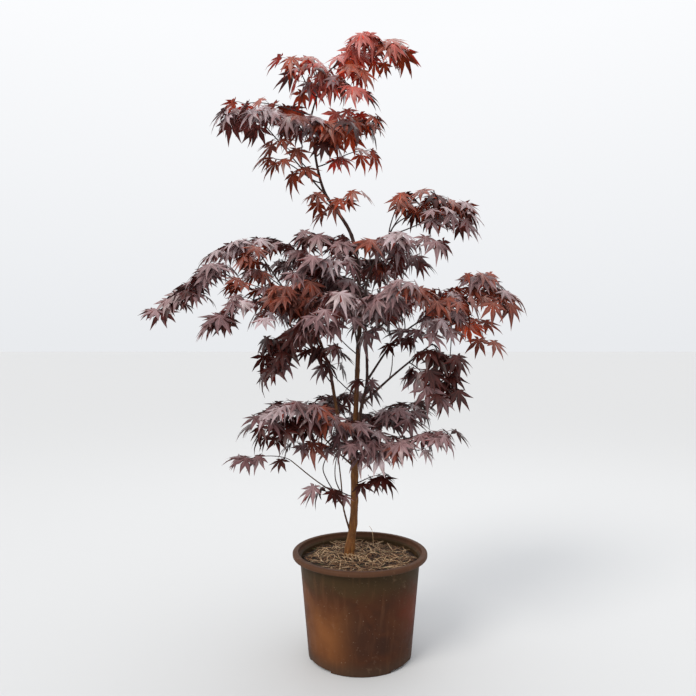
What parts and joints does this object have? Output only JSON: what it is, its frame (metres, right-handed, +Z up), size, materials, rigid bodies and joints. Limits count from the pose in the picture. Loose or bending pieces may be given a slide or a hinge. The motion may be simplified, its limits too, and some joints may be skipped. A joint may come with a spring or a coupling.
{
  "type": "potted japanese maple",
  "caption": "Young Japanese maple in a nursery pot: a slender leader, arching boughs and airy tiers of deeply cut red and purple leaves.",
  "frame": {"origin": "centre of the pot's flat underside", "axes": "+Z up along the pot's axis; the pictured side of the plant faces -Y, with +X to its right"},
  "size_m": [0.9743, 0.6922, 1.5917],
  "materials": {
    "pot": "satin",
    "mulch": "rough",
    "bark": "matte",
    "young_bark": "matte",
    "foliage_purple": "satin",
    "foliage_scarlet": "satin"
  },
  "bodies": {
    "root": {"back_low": "foliage_purple", "back_mid": "foliage_purple", "centre_back": "foliage_purple", "centre_left_high": "foliage_purple", "centre_right": "foliage_purple", "crown_left": "foliage_scarlet", "crown_middle": "foliage_scarlet", "crown_top": "foliage_scarlet", "foot_left": "foliage_purple", "foot_left_long": "young_bark", "foot_left_stem": "young_bark", "foot_right": "foliage_purple", "front_bough": "young_bark", "front_centre": "foliage_purple", "front_right": "foliage_purple", "leader_tuft_left": "foliage_scarlet", "leader_tuft_right": "foliage_scarlet", "left_far": "foliage_purple", "left_high": "foliage_purple", "left_high_bough": "young_bark", "left_high_inner": "foliage_purple", "left_leader": "bark", "left_long_bough": "young_bark", "left_low": "foliage_purple", "left_low_bough": "young_bark", "left_mid": "foliage_purple", "left_mid_back": "foliage_purple", "left_under": "foliage_purple", "left_under_bough": "young_bark", "left_under_inner": "foliage_purple", "low_front": "foliage_purple", "low_left": "foliage_purple", "low_left_bough": "young_bark", "low_left_under": "foliage_purple", "low_middle": "foliage_purple", "low_right_back": "foliage_purple", "low_right_front": "foliage_purple", "mulch": "mulch", "pot": "pot", "right_back_bough": "young_bark", "right_far": "foliage_purple", "right_hang": "foliage_purple", "right_hang_bough": "young_bark", "right_high_low": "foliage_purple", "right_high_mid": "foliage_purple", "right_high_outer": "foliage_scarlet", "right_inner": "foliage_purple", "right_leader": "young_bark", "right_low": "foliage_purple", "right_low_bough": "young_bark", "right_mid": "foliage_purple", "right_mid_bough": "young_bark", "top_left_bough": "young_bark", "trunk": "bark", "upper_left_back": "foliage_scarlet", "upper_left_inner": "foliage_scarlet", "upper_left_low": "foliage_scarlet", "upper_left_outer": "foliage_scarlet", "upper_right": "foliage_scarlet", "upper_right_low": "foliage_scarlet"}
  },
  "joints": []
}
